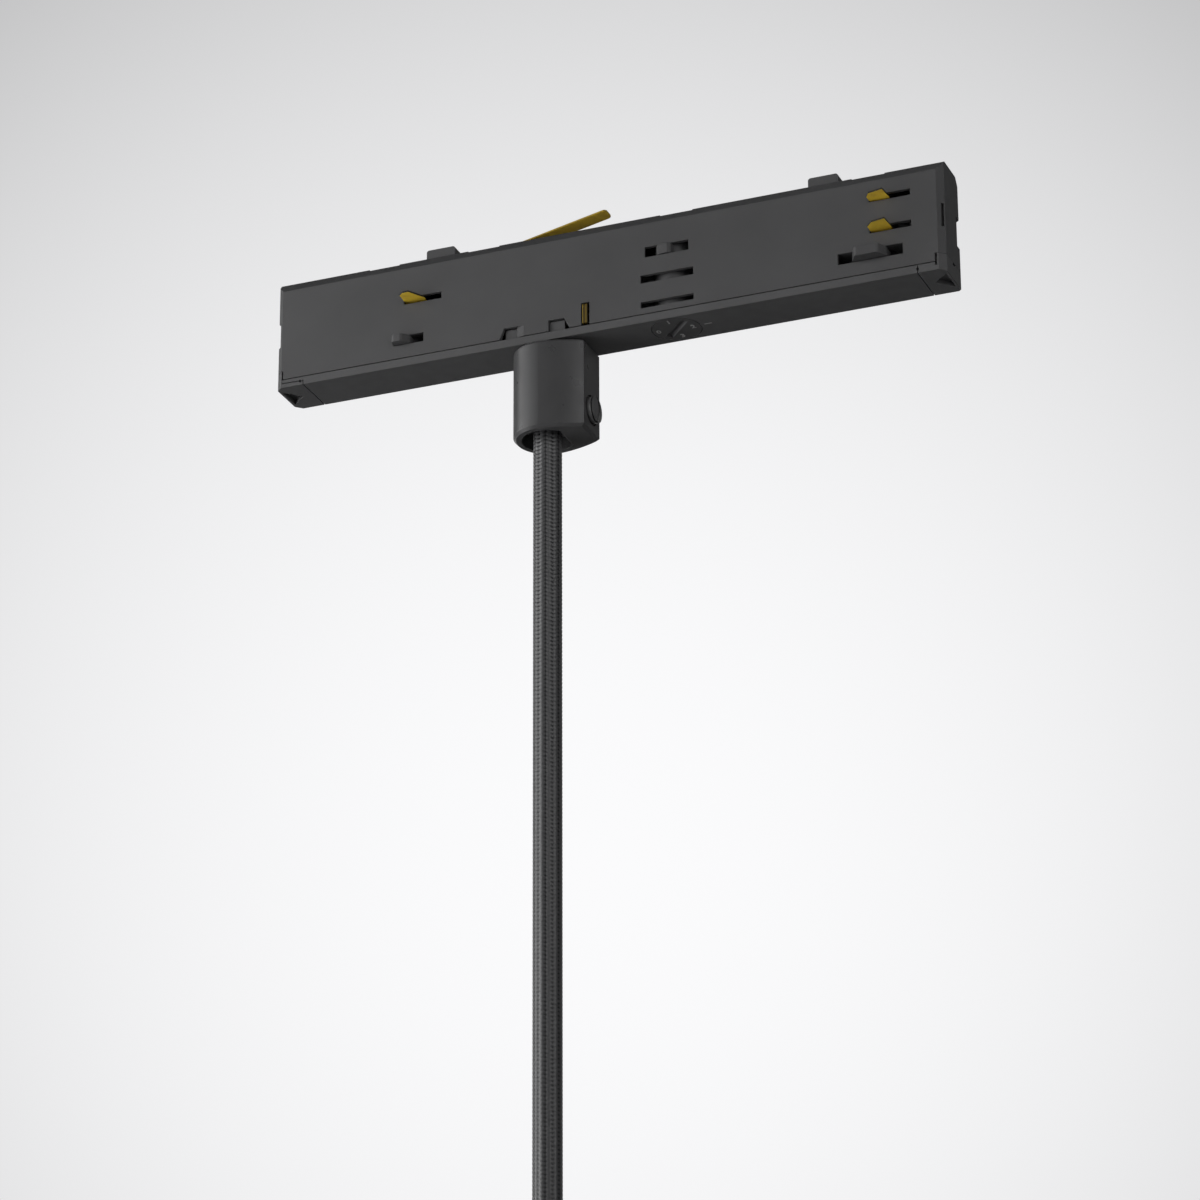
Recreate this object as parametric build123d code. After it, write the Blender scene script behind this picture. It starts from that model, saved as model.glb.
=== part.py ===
from build123d import *
import os
from math import cos, hypot, radians, sin, sqrt

os.makedirs("parts", exist_ok=True)

# Track light adapter for a surface track, with a pendant cord. Millimetres, +Z up.
# Origin: middle of the bar's underside, where the track's open edge lies. +X runs along the bar.

# Bar
joint_span = 186.0
left_end_length = 8.8
right_end_length = 8.0
bar_width = 15.0
bar_height = 34.2
top_chamfer_in = 2.6
top_chamfer_down = 3.2
corner_chamfers = {(1, -1): 1.9, (1, 1): 0.8, (-1, -1): 1.75, (-1, 1): 1.9}
side_wall = 1.2
roof = 1.8
end_wall = 2.2
cover_height = 2.7
groove_height = 0.3
groove_depth = 0.6
joint_gap = 0.3
corner_notch_low = 13.5
corner_notch_high = 21.4
corner_notch_depth = 0.9
corner_notch_bevel = 1.1
corner_notch_width = 3.4
corner_slit = (100.0, 100.65)
corner_slit_drop = 0.7

# Shallow seats along both top edges: left end and length
edge_seats = ((-73.7, 9.6), (-42.6, 9.8), (16.5, 9.9), (73.8, 9.8))
edge_seat_depth = 0.45

# Keys on the roof that fit the track's coded channel
key_length = 8.9
key_height = 2.7
key_places = (-55.6, 61.0)
key_round = 0.8

# Clearances
turn_clearance = 0.06
slide_clearance = 0.1
end_play = 0.1
seat_play = 0.05
sweep_clearance = 0.15

# Decks that part the locks' lugs from the live contacts over them: half length, lower and upper face
deck_half_length = 14.0
deck_low = 10.35
deck_high = 11.35
deck_hole_play = 0.25

# Rotors
right_axis_x = 79.5
left_axis_x = -62.5
stub_radius = 2.0
stub_floor = 0.9
rotor_radius = 5.6
rotor_top = 28.0
top_stub_length = 2.8
bearing_half = 4.2
crank_radius = 4.0
crank_pin_radius = 1.0
crank_slot_play = 0.13
crank_disc_radius = 5.3
crank_disc_low = 4.75
crank_disc_high = 6.3
rotor_turn = 80.0
contact_thickness = 1.0
blade_thickness = 0.5
blade_undersides = {"low": 15.65, "high": 25.0, "middle": 20.6}
slot_skin = 0.5

# Side slots of the rotors: start and end from the rotor's axis, then low and high edge
right_contact_slots = {"low": (0.0, 12.1, 14.8, 16.8), "high": (0.0, 12.1, 24.5, 26.5)}
left_contact_slots = {"middle": (1.0, 12.8, 19.5, 21.6)}
right_lug_slot = (-9.5, 9.5, 6.8, 10.1)
left_lug_slot = (-2.2, 7.3, 6.8, 9.6)

# Outlines that stand out of the wall: along the bar from the rotor's axis, and out of the wall
right_contact_outlines = {
    "low": ((0.2, 2.4), (2.0, 4.6), (6.05, 5.4), (6.4, 0.0)),
    "high": ((0.1, 2.2), (1.2, 4.1), (5.55, 5.1), (6.05, 0.0)),
}
left_contact_outlines = {"middle": ((1.3, 3.7), (2.7, 5.0), (4.55, 5.1), (7.5, 0.0))}
right_lug_outline = ((-5.2, 0.0), (-3.6, 3.3), (3.2, 3.3), (4.7, 0.0))
left_lug_outline = ((-2.1, 0.0), (-1.9, 2.3), (1.3, 2.4), (3.1, 0.0))
lug_height_play = 0.25
lug_round = 1.0

# Circuit selector
selector_x = 19.4
dial_radius = 7.0
dial_rim_gap = 0.25
dial_flange = 1.3
dial_hub_radius = 4.9
dial_key = 4.0
dial_key_height = 3.2
dial_slot_width = 2.2
dial_slot_length = 11.0
dial_slot_depth = 0.9
dial_slot_angle = -47.0
drum_radius = 6.0
drum_top = 25.8
# Windows of the selector: low and high edge, the contact's angle, half the window's length
selector_slots = {
    "low": (4.5, 6.4, 180.0, 7.95),
    "middle": (12.3, 14.8, 90.0, 7.95),
    "high": (20.3, 23.5, 0.0, 6.6),
}
drum_nose_width = 4.6
drum_nose_reach = 8.1
drum_nose_angle = -98.0
phase_contact_width = 4.0
phase_contact_root = 3.2
phase_contact_margin = 0.65

# Earth contact strip
earth_x = -5.33
earth_slot_width = 2.5
earth_slot_low = 2.7
earth_slot_high = 9.6
earth_strip_width = 1.6
earth_strip_thickness = 0.8
earth_proud = 0.3

# Windows for the cover's snap hooks: both edges at the foot, both at the top, and the hook's set-back
hook_windows = ((-31.6, -26.4, -30.2, -26.4, 1.15), (-16.6, -10.2, -16.6, -11.8, 0.9))
hook_window_height = 3.3
hook_thickness = 0.55
hook_short = 0.25
window_bevel_length = 2.2
window_bevel_depth = 0.7

# Lips of the cover inside the side walls: left and right end
cover_lips = ((-50.0, -34.0), (34.0, 66.0))
cover_lip_thickness = 0.9
cover_lip_height = 2.5

# Index mark beside the dial
index_gap = 1.25
index_length = 2.25
index_width = 0.6
index_depth = 0.3

# Roof spring
spring_root_x = -36.2
spring_arm = 36.0
spring_angle = 11.8
spring_width = 4.8
spring_thickness = 0.45
spring_root_radius = 0.55
spring_tip_round = 1.2
spring_channel_depth = 1.1
spring_pivot_lift = 0.28

# End latches
tongue_thickness = 1.8
tongue_half_width = 5.9
tongue_reach = 6.2
upstand_depths = {1: 2.3, -1: 2.0}
upstand_gaps = {1: 0.65, -1: 0.4}
prong_gap = 0.25
upstand_height = 5.1
latch_lip = 0.8
latch_rims = {1: 2.4, -1: 1.15}
latch_slit_floor = 1.4
prong_tip_gap = 0.1
upstand_notch = (-0.4, 1.8)
upstand_notch_height = 0.8
upstand_notch_depth = 1.0
joint_dot_radius = 0.45
joint_dot_height = 1.15
joint_dot_shifts = {1: 0.0, -1: 0.9}
joint_dot_depth = 0.5
pocket_length = 4.6
pocket_half_width = 4.4
pocket_depth = 1.5

# Cord grip
grip_x = -19.85
grip_gap = 0.6
grip_height = 27.2
grip_radius = 9.7
grip_flat_x = 13.4
grip_flat_width = 11.7
grip_side_start = 84.0
grip_rim_edge = 0.8
neck_radius = 5.3
nut_height = 2.6
nut_flats = 12.0
mouth_radius = 7.4
mouth_flat_x = 5.7
mouth_flat_half = 5.25
mouth_depth = 16.5
clamp_screw_drop = 20.6
clamp_screw_radius = 2.0
clamp_head_radius = 3.9
clamp_head_edge = 2.1
clamp_head_dome = 1.7
clamp_recess_radius = 4.5
clamp_recess_depth = 0.6
driver_slot_width = 0.9
driver_slot_depth = 0.9
saddle_height = 9.0
saddle_half_width = 4.2
saddle_gap = 0.1

# Cord and its lower fitting
cord_radius = 4.1
cord_top = 3.0
cord_bottom = -264.0
bore_clearance = 0.07
lower_fitting_top = -252.0
lower_fitting_radius = 8.0
lower_fitting_length = 18.0
lower_taper = 5.0
nipple_radius = 5.0
nipple_length = 9.0
nipple_bore = 3.6
grub_radius = 1.5

# Terminals over the cord entry
core_count = 5
core_radius = 0.95
core_ring = 2.6
terminal_block_length = 24.0
terminal_block_width = 11.6
terminal_block_low = 10.0
terminal_block_high = 21.0
terminal_pitch = 4.6
terminal_tube = 3.2
terminal_screw_radius = 1.1
terminal_post = 1.4

# Values that follow
half_span = joint_span / 2
left_end = half_span + left_end_length
right_end = half_span + right_end_length
bar_ends = {1: right_end, -1: left_end}
half_width = bar_width / 2
inner_half = half_width - side_wall
ceiling = bar_height - roof
cover_rim = cover_height - groove_height
plateau_half = half_width - groove_depth
contact_skin = half_width - slot_skin


def block(x0, x1, y0, y1, z0, z1):
    """A box between two corners."""
    return Pos((x0 + x1) / 2, (y0 + y1) / 2, (z0 + z1) / 2) * Box(x1 - x0, y1 - y0, z1 - z0)


def rod(radius, z0, z1, x=0.0, y=0.0):
    """An upright cylinder."""
    return Pos(x, y, (z0 + z1) / 2) * Cylinder(radius, z1 - z0)


def slim_rod(radius, z0, z1, x=0.0, y=0.0):
    """An upright prism of sixteen sides, for the small round parts inside."""
    return Pos(x, y, z0) * extrude(RegularPolygon(radius, 16), z1 - z0)


def rod_x(radius, x0, x1, y=0.0, z=0.0):
    """A cylinder along X."""
    return Pos((x0 + x1) / 2, y, z) * Rot(0, 90, 0) * Cylinder(radius, x1 - x0)


def plate(points, z0, z1):
    """An upright prism over a plan outline."""
    return Pos(0, 0, z0) * extrude(make_face(Polyline(*points, close=True)), z1 - z0)


def both_sides(shape):
    """The shape with its copy turned half a turn about Z."""
    return shape + Rot(0, 0, 180) * shape


def bar_section(low, high):
    """The bar's outline across its length, with both top edges chamfered."""
    shoulder = bar_height - top_chamfer_down
    flat = half_width - top_chamfer_in
    points = ((-half_width, low), (half_width, low), (half_width, shoulder), (flat, high),
              (-flat, high), (-half_width, shoulder))
    return make_face(Plane.YZ * Polyline(*points, close=True))


def corner_cutters(side):
    """The prisms that chamfer the upright corners of one end, before that end is turned to its side."""
    end = bar_ends[side]
    cuts = []
    for sy in (1, -1):
        size = corner_chamfers[(side, sy * side)]
        corner = ((end, sy * half_width), (end - size, sy * half_width), (end, sy * (half_width - size)))
        cuts.append(plate(corner, -1, bar_height + 1))
    return cuts


def joint_dots(side):
    """Small round dimples at the joint corners of the cover and the latch of one end."""
    x = half_span + joint_dot_shifts[side]
    cuts = []
    for sy in (1, -1):
        dot = Rot(90, 0, 0) * Cylinder(joint_dot_radius, 2 * joint_dot_depth)
        cuts.append(Pos(x, sy * half_width, joint_dot_height) * dot)
    return cuts


def end_cutters(side):
    """What is cut from one end of the shell: the latch's way, a corner notch and the corners."""
    end = bar_ends[side]
    inside = end - end_wall
    way = tongue_half_width + slide_clearance
    top = upstand_height + slide_clearance
    floor = end - corner_notch_depth
    low, high = corner_notch_low, corner_notch_high
    bevel = corner_notch_bevel
    if side > 0:
        profile = ((end + 1, low - bevel), (end, low - bevel), (floor, low), (floor, high), (end + 1, high))
    else:
        profile = ((end + 1, low), (floor, low), (floor, high - bevel), (end, high), (end + 1, high))
    half = (corner_notch_width + 1) / 2
    notch = Plane.XZ.offset(half - half_width - 1) * Polyline(*profile, close=True)
    start = end - upstand_depths[side] - upstand_gaps[side]
    cuts = [block(start, end + 1, -half_width - 1, half_width + 1, 0, top),
            block(inside - 1, end + 1, -way, way, 0, top),
            extrude(make_face(notch), half, both=True)]
    cuts += corner_cutters(side)
    if side < 0:
        cuts = [Rot(0, 0, 180) * cut for cut in cuts]
    return cuts


def contact_outline(points, start):
    """A contact blade's plan: the near blade, the web in the rotor and the far blade."""
    edge = min(start, points[0][0])
    near = [(edge, -rotor_radius), (edge, -half_width)]
    near += [(x, -half_width - out) for x, out in points]
    near += [(points[-1][0], -rotor_radius)]
    far = [(-x, -y) for x, y in near]
    return near + far


def swept_radius(points):
    """The longest reach of a side outline from the rotor's axis."""
    return max(hypot(x, half_width + out) for x, out in points)


def side_slot(axis_x, start, end, low, high, reach):
    """A slot through both side walls with the room that a turning blade needs behind it."""
    slot = block(start, end, -half_width - 1, -inner_half + 1, low, high)
    room = rod(reach + sweep_clearance, low, high)
    room &= block(-reach - 1, reach + 1, -contact_skin, contact_skin, low, high)
    return Pos(axis_x, 0, 0) * (both_sides(slot) + room)


def phase_tip_radius(half):
    """The reach of a phase contact's corners that its window leaves free."""
    return hypot(half - phase_contact_margin, half_width)


def selector_cutter():
    """The windows of the selector, the same on both sides of the bar."""
    cutter = None
    for low, high, _, half in selector_slots.values():
        cut = block(-half, half, -half_width - 1, half_width + 1, low, high)
        room = rod(phase_tip_radius(half) + sweep_clearance, low, high)
        room &= block(-half_width * 2, half_width * 2, -contact_skin, contact_skin, low, high)
        cutter = cut + room if cutter is None else cutter + cut + room
    return Pos(selector_x, 0, 0) * cutter


def hook_window(foot0, foot1, top0, top1):
    """The outline of a hook's window, carried through the bar."""
    top = cover_height + hook_window_height
    outline = ((foot0, cover_height - 1), (foot1, cover_height - 1), (foot1, cover_height), (top1, top),
               (top0, top), (foot0, cover_height))
    return extrude(make_face(Plane.XZ * Polyline(*outline, close=True)), bar_width, both=True)


def make_upper_housing():
    """The moulded shell: side walls, roof, end walls, bearings, windows and keys."""
    body = Pos(-left_end, 0, 0) * extrude(bar_section(cover_height, bar_height), left_end + right_end)
    body -= block(-left_end + end_wall, right_end - end_wall, -inner_half, inner_half,
                  cover_height - 1, ceiling)
    for side in (1, -1):
        for cut in end_cutters(side):
            body -= cut
    for x0, length in edge_seats:
        for sy in (1, -1):
            flat = half_width - top_chamfer_in
            y0, y1 = sorted((sy * (flat - edge_seat_depth), sy * (half_width + 1)))
            body -= block(x0, x0 + length, y0, y1, bar_height - edge_seat_depth, bar_height + 1)
    for x0 in key_places:
        flat = half_width - top_chamfer_in
        key = block(x0, x0 + key_length, -flat, flat, bar_height - 0.5, bar_height + key_height)
        key = fillet(key.edges().filter_by(Axis.Y).group_by(Axis.Z)[-1], key_round)
        body += key
    floor = bar_height - spring_channel_depth
    room = spring_width / 2 + slide_clearance
    body -= block(spring_root_x, spring_root_x + spring_arm + 1, -room, room, floor, bar_height + 1)
    body -= Pos(spring_root_x, 0, floor + spring_pivot_lift) * Rot(90, 0, 0) * Cylinder(
        spring_root_radius + turn_clearance, 2 * room)
    for axis_x in (right_axis_x, left_axis_x):
        body += block(axis_x - bearing_half, axis_x + bearing_half, -bearing_half, bearing_half,
                      rotor_top + end_play, ceiling + 0.2)
        body -= rod(stub_radius + turn_clearance, rotor_top - 1, rotor_top + top_stub_length + end_play,
                    axis_x)
        deck = block(axis_x - deck_half_length, axis_x + deck_half_length, -inner_half - 0.1,
                     inner_half + 0.1, deck_low, deck_high)
        body += deck - rod(rotor_radius + deck_hole_play, deck_low - 1, deck_high + 1, axis_x)
    body += block(selector_x - bearing_half, selector_x + bearing_half, -bearing_half, bearing_half,
                  drum_top + end_play, ceiling + 0.2)
    body -= rod(stub_radius + turn_clearance, drum_top - 1, drum_top + top_stub_length + end_play,
                selector_x)
    for name, (start, end, low, high) in right_contact_slots.items():
        body -= side_slot(right_axis_x, start, end, low, high, swept_radius(right_contact_outlines[name]))
    for name, (start, end, low, high) in left_contact_slots.items():
        body -= side_slot(left_axis_x, start, end, low, high, swept_radius(left_contact_outlines[name]))
    body -= side_slot(right_axis_x, *right_lug_slot, swept_radius(right_lug_outline))
    body -= side_slot(left_axis_x, *left_lug_slot, swept_radius(left_lug_outline))
    body -= selector_cutter()
    for foot0, foot1, top0, top1, _ in hook_windows:
        body -= hook_window(foot0, foot1, top0, top1)
    x0 = hook_windows[0][1]
    for sy in (1, -1):
        bevel = ((x0 - 0.1, sy * half_width), (x0 + window_bevel_length, sy * half_width),
                 (x0 - 0.1, sy * (half_width - window_bevel_depth)))
        body -= plate(bevel, cover_height - 1, cover_height + hook_window_height)
    slit = block(corner_slit[0], corner_slit[1], -half_width - 1, corner_notch_width - half_width,
                 corner_notch_low, corner_notch_high - corner_slit_drop)
    body -= both_sides(slit)
    body -= block(earth_x - earth_slot_width / 2, earth_x + earth_slot_width / 2, -half_width - 1,
                  half_width + 1, earth_slot_low - 1, earth_slot_high)
    return body


def make_bottom_cover():
    """The strip under the bar, with the dial's stepped hole and the hooks that hold it."""
    x1 = half_span - joint_gap / 2
    cover = block(-x1, x1, -half_width, half_width, 0, cover_rim)
    cover += block(-x1, x1, -plateau_half, plateau_half, 0, cover_height)
    way = tongue_half_width + slide_clearance
    tip = left_end - upstand_depths[-1] - prong_tip_gap
    low = latch_rims[-1] + prong_gap
    prongs = block(x1 - 0.5, tip, -half_width, half_width, low, cover_rim)
    prongs += block(x1 - 0.5, tip, -plateau_half, plateau_half, low, cover_height)
    prongs -= block(x1, tip + 1, -way, way, 0, cover_height + 1)
    cover += Rot(0, 0, 180) * prongs
    for side in (1, -1):
        for dot in joint_dots(side):
            cover -= dot if side > 0 else Rot(0, 0, 180) * dot
    lip_out = inner_half - slide_clearance
    for x0, x2 in cover_lips:
        for sy in (1, -1):
            y0, y2 = sorted((sy * lip_out, sy * (lip_out - cover_lip_thickness)))
            cover += block(x0, x2, y0, y2, cover_height - 0.5, cover_height + cover_lip_height)
    for foot0, foot1, top0, top1, set_back in hook_windows:
        for sy in (1, -1):
            hook_out = half_width - set_back
            y0, y2 = sorted((sy * hook_out, sy * (hook_out - hook_thickness)))
            hook = block(top0 + slide_clearance, top1 - slide_clearance, y0, y2,
                         cover_height - 0.5, cover_height + hook_window_height - hook_short)
            cover += hook
    cover -= rod(dial_radius + dial_rim_gap, -1, dial_flange + end_play, selector_x)
    cover -= rod(dial_hub_radius + turn_clearance, 0, cover_height + 1, selector_x)
    cover -= rod(neck_radius + seat_play, -1, cover_height + 1, grip_x)
    for axis_x in (right_axis_x, left_axis_x):
        cover -= rod(stub_radius + turn_clearance, stub_floor, cover_height + 1, axis_x)
    mark_x = selector_x + dial_radius + index_gap
    cover -= block(mark_x, mark_x + index_length, -index_width / 2, index_width / 2, -1, index_depth)
    return cover


def make_rotor(axis_x, lug, lug_slot, side, blades):
    """A rotor: stubs, crank, drum with its two lugs, less the seats of its blades."""
    low = lug_slot[2] + lug_height_play
    high = lug_slot[3] - lug_height_play
    body = rod(stub_radius, stub_floor + end_play, rotor_top + top_stub_length)
    body += rod(crank_disc_radius, crank_disc_low, crank_disc_high)
    body += rod(rotor_radius, crank_disc_high, rotor_top)
    half_turn = radians(rotor_turn / 2)
    pin_x = -crank_radius * sin(half_turn) * side
    pin_y = -crank_radius * cos(half_turn) * side
    body += rod(crank_pin_radius, cover_height + end_play + 0.1, crank_disc_low + 0.5, pin_x, pin_y)
    points = [(lug[0][0], -rotor_radius + 2)] + [(x, -half_width - out) for x, out in lug]
    points += [(lug[-1][0], -rotor_radius + 2)]
    arm = plate(points, low, high)
    arm = fillet(arm.edges().filter_by(Axis.Z).sort_by(Axis.Y)[:2], lug_round)
    body += both_sides(arm)
    body = Pos(axis_x, 0, 0) * body
    for blade in blades:
        body -= blade
    return body


def make_blade(axis_x, outline, slot, underside):
    """A contact blade pressed through a rotor, standing out of both side walls."""
    points = contact_outline(outline, slot[0] + 0.1)
    return Pos(axis_x, 0, 0) * plate(points, underside, underside + blade_thickness)


def make_latch(side, axis_x):
    """An end latch: outer block with its nail pocket, and the tongue that the crank drives."""
    end = bar_ends[side]
    low = cover_height + end_play
    high = low + tongue_thickness
    x0 = half_span + joint_gap / 2
    x1 = end - upstand_depths[side]
    body = block(x0, end, -half_width, half_width, 0, latch_rims[side])
    if side > 0:
        body -= block(x1 - upstand_gaps[side], x1, -half_width - 1, half_width + 1, latch_slit_floor,
                      cover_height)
    body += block(x0, x1 + 0.5, -tongue_half_width, tongue_half_width, 0, high)
    body += block(x1, end, -half_width, half_width, 0, upstand_height)
    body += block(abs(axis_x) - tongue_reach, x1 + 0.5, -tongue_half_width, tongue_half_width, low, high)
    for cut in corner_cutters(side) + joint_dots(side):
        body -= cut
    y0, y1 = (side * y for y in upstand_notch)
    body -= block(end - upstand_notch_depth, end + 1, min(y0, y1), max(y0, y1),
                  upstand_height - upstand_notch_height, upstand_height + 1)
    outer = end - latch_lip
    body -= plate(((outer - pocket_length, 0), (outer, pocket_half_width), (outer, -pocket_half_width)),
                  -1, pocket_depth)
    travel = 2 * crank_radius * sin(radians(rotor_turn / 2))
    shaft = stub_radius + slide_clearance
    centre = abs(axis_x)
    body -= block(centre - travel, centre, -shaft, shaft, low - 1, high + 1)
    for x in (centre, centre - travel):
        body -= rod(shaft, low - 1, high + 1, x)
    pin = crank_pin_radius + crank_slot_play
    cross = centre - travel / 2
    far = -crank_radius * cos(radians(rotor_turn / 2)) + pin
    body -= block(cross - pin, cross + pin, -crank_radius - pin, far, low - 1, high + 1)
    if side < 0:
        body = Rot(0, 0, 180) * body
    return body


def make_dial():
    """The dial: flange with a driver slot, hub, and the square key that carries the drum."""
    body = rod(dial_radius, 0, dial_flange)
    body += rod(dial_hub_radius, 0, cover_height)
    half = dial_key / 2
    body += block(-half, half, -half, half, cover_height - 0.5, cover_height + dial_key_height)
    slot = block(-dial_slot_length / 2, dial_slot_length / 2, -dial_slot_width / 2, dial_slot_width / 2,
                 -1, dial_slot_depth)
    body -= Rot(0, 0, dial_slot_angle) * slot
    return Pos(selector_x, 0, 0) * body


def make_phase_contact(low, high, angle, window_half):
    """A radial contact of the selector drum."""
    middle = (low + high) / 2
    half = phase_contact_width / 2
    reach = sqrt(phase_tip_radius(window_half) ** 2 - half ** 2)
    strip = block(phase_contact_root, reach, -half, half,
                  middle - contact_thickness / 2, middle + contact_thickness / 2)
    strip = chamfer(strip.edges().filter_by(Axis.Z).group_by(Axis.X)[-1], 0.7)
    return Pos(selector_x, 0, 0) * Rot(0, 0, angle) * strip


def make_drum(contacts):
    """The selector drum, less the seats of its contacts."""
    body = rod(drum_radius, cover_height + end_play, drum_top)
    body += rod(stub_radius, drum_top - 0.5, drum_top + top_stub_length)
    half = dial_key / 2
    body -= block(-half, half, -half, half, 0, cover_height + dial_key_height)
    body = Pos(selector_x, 0, 0) * body
    for contact in contacts:
        body -= contact
    low, high, _, _ = selector_slots["high"]
    half = drum_nose_width / 2
    nose = block(drum_radius - 1, drum_nose_reach, -half, half, low + slide_clearance,
                 high - slide_clearance)
    nose = chamfer(nose.edges().filter_by(Axis.Z).group_by(Axis.X)[-1], 0.8)
    return body + Pos(selector_x, 0, 0) * Rot(0, 0, drum_nose_angle) * nose


def make_earth_contact():
    """A U-shaped brass strip whose two legs show in the side windows."""
    half = earth_strip_width / 2
    out = half_width + earth_proud
    t = earth_strip_thickness
    top = earth_slot_high - 0.3
    bottom = earth_slot_low + 0.4
    legs = block(-half, half, -out, out, bottom, top)
    legs -= block(-half - 1, half + 1, -out + t, out - t, bottom - 1, top - t)
    legs = fillet(legs.edges().filter_by(Axis.X).group_by(Axis.Z)[-1], 0.6)
    return Pos(earth_x, 0, 0) * legs


def make_leaf_spring():
    """The brass leaf on the roof: a rolled root and a straight arm with a rounded tip."""
    half = spring_thickness / 2
    arm = block(0, spring_arm, -spring_width / 2, spring_width / 2, -half, half)
    arm = fillet(arm.edges().filter_by(Axis.Z).group_by(Axis.X)[-1], spring_tip_round)
    arm += Rot(90, 0, 0) * Cylinder(spring_root_radius, spring_width)
    pivot_z = bar_height - spring_channel_depth + spring_pivot_lift
    return Pos(spring_root_x, 0, pivot_z) * Rot(0, -spring_angle, 0) * arm


def grip_plan(radius, flat_x, flat_width):
    """A round outline whose sides run in wide arcs to a flat face."""
    y = flat_width / 2
    angle = radians(grip_side_start)
    x0, y0 = radius * cos(angle), radius * sin(angle)
    arc = ThreePointArc((x0, y0), (-radius, 0), (x0, -y0))
    lower = TangentArc((x0, -y0), (flat_x, -y), tangent=(sin(angle), cos(angle)))
    face = Line((flat_x, -y), (flat_x, y))
    upper = TangentArc((x0, y0), (flat_x, y), tangent=(sin(angle), -cos(angle)))
    return make_face([arc, lower, face, upper])


def make_cord_grip():
    """The moulded cord grip: D-shaped body, neck, cord bore, mouth and screw recess."""
    top = -grip_gap
    bottom = top - grip_height
    body = Pos(0, 0, bottom) * extrude(grip_plan(grip_radius, grip_flat_x, grip_flat_width), grip_height)
    rims = body.edges().group_by(Axis.Z)
    body = chamfer(rims[0] + rims[-1], grip_rim_edge)
    body += rod(neck_radius + 1.2, top - 0.5, 0)
    body += rod(neck_radius, top - 0.5, cover_height + nut_height)
    bore = cord_radius + bore_clearance
    body -= rod(bore, bottom - 1, cover_height + nut_height + 1)
    mouth = rod(mouth_radius, bottom - 1, bottom + mouth_depth)
    mouth &= block(-mouth_radius - 1, mouth_flat_x, -mouth_radius - 1, mouth_radius + 1,
                   bottom - 2, bottom + mouth_depth + 1)
    mouth += block(0, mouth_flat_x, -mouth_flat_half, mouth_flat_half, bottom - 1, bottom + mouth_depth)
    screw_z = -clamp_screw_drop
    anvil = block(-mouth_radius - 1, -bore + 0.6, -2.4, 2.4, screw_z - 3, screw_z + 3)
    mouth -= anvil - rod(bore, bottom, 0)
    body -= mouth
    body -= rod_x(clamp_screw_radius + seat_play, 0, grip_flat_x + 1, z=screw_z)
    body -= rod_x(clamp_recess_radius, grip_flat_x - clamp_recess_depth, grip_flat_x + 1, z=screw_z)
    return Pos(grip_x, 0, 0) * body


def make_grip_nut():
    """The hexagon nut that holds the grip's neck in the bottom cover."""
    nut = extrude(RegularPolygon(nut_flats / 2, 6, major_radius=False, rotation=0), nut_height)
    nut = Pos(grip_x, 0, cover_height) * nut
    return nut - rod(neck_radius, 0, cover_height + nut_height + 1, grip_x)


def make_clamp_screw():
    """The clamp screw: domed slotted head and a shank that ends on the saddle."""
    start = grip_flat_x - clamp_recess_depth
    rim = start + clamp_head_edge
    apex = rim + clamp_head_dome
    crown = clamp_head_radius - 1.5
    outline = Polyline((start, 0), (start, clamp_head_radius), (rim, clamp_head_radius),
                       (apex - 0.4, crown), (apex, crown - 1.2), (apex, 0), close=True)
    head = revolve(make_face(outline), Axis.X)
    tip = mouth_flat_x - saddle_gap
    body = head + rod_x(clamp_screw_radius, tip, start + 0.3)
    body -= block(apex - driver_slot_depth, apex + 1, -driver_slot_width / 2, driver_slot_width / 2,
                  -clamp_head_radius - 1, clamp_head_radius + 1)
    return Pos(grip_x, 0, -clamp_screw_drop) * body


def make_saddle():
    """The clamp saddle between the screw and the cord."""
    z = -clamp_screw_drop
    inner = cord_radius
    body = block(1.6, mouth_flat_x - saddle_gap, -saddle_half_width, saddle_half_width,
                 z - saddle_height / 2, z + saddle_height / 2)
    body &= rod(mouth_radius - saddle_gap, z - saddle_height, z + saddle_height)
    body -= rod(inner, z - saddle_height, z + saddle_height)
    return Pos(grip_x, 0, 0) * body


def make_cord():
    """The round cord, hanging straight from the terminals to the lower fitting."""
    return rod(cord_radius, cord_bottom, cord_top, grip_x)


def core_places():
    """Where the cores stand round the cord's middle."""
    step = 360 / core_count
    return [(grip_x + core_ring * cos(radians(step * i)), core_ring * sin(radians(step * i)))
            for i in range(core_count)]


def make_cores():
    """The cores that leave the cord's sheath and enter the terminal block."""
    group = [slim_rod(core_radius, cord_top, terminal_block_low, x, y) for x, y in core_places()]
    return Compound(children=group)


def terminal_places():
    """Where the terminals stand along the block."""
    first = grip_x - terminal_pitch * (core_count - 1) / 2
    return [first + terminal_pitch * i for i in range(core_count)]


def make_terminal_block():
    """The insulating block, with a square hole for each terminal and a wall between them."""
    half = terminal_block_length / 2
    width = terminal_block_width / 2
    body = block(grip_x - half, grip_x + half, -width, width, terminal_block_low, terminal_block_high)
    for x in terminal_places():
        hole = terminal_tube / 2
        body -= block(x - hole, x + hole, -hole, hole, terminal_block_low + 2, terminal_block_high + 1)
    for sx in (1, -1):
        x0, x1 = sorted((grip_x + sx * (half - terminal_post), grip_x + sx * half))
        body += block(x0, x1, -width, width, terminal_block_high - 0.5, ceiling)
    return body


def make_terminals():
    """The brass terminal tubes."""
    hole = terminal_tube / 2
    top = terminal_block_high - 1
    group = []
    for x in terminal_places():
        tube = block(x - hole, x + hole, -hole, hole, terminal_block_low + 2, top)
        tube -= slim_rod(terminal_screw_radius, top - 4, top + 1, x)
        group.append(tube)
    return Compound(children=group)


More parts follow.
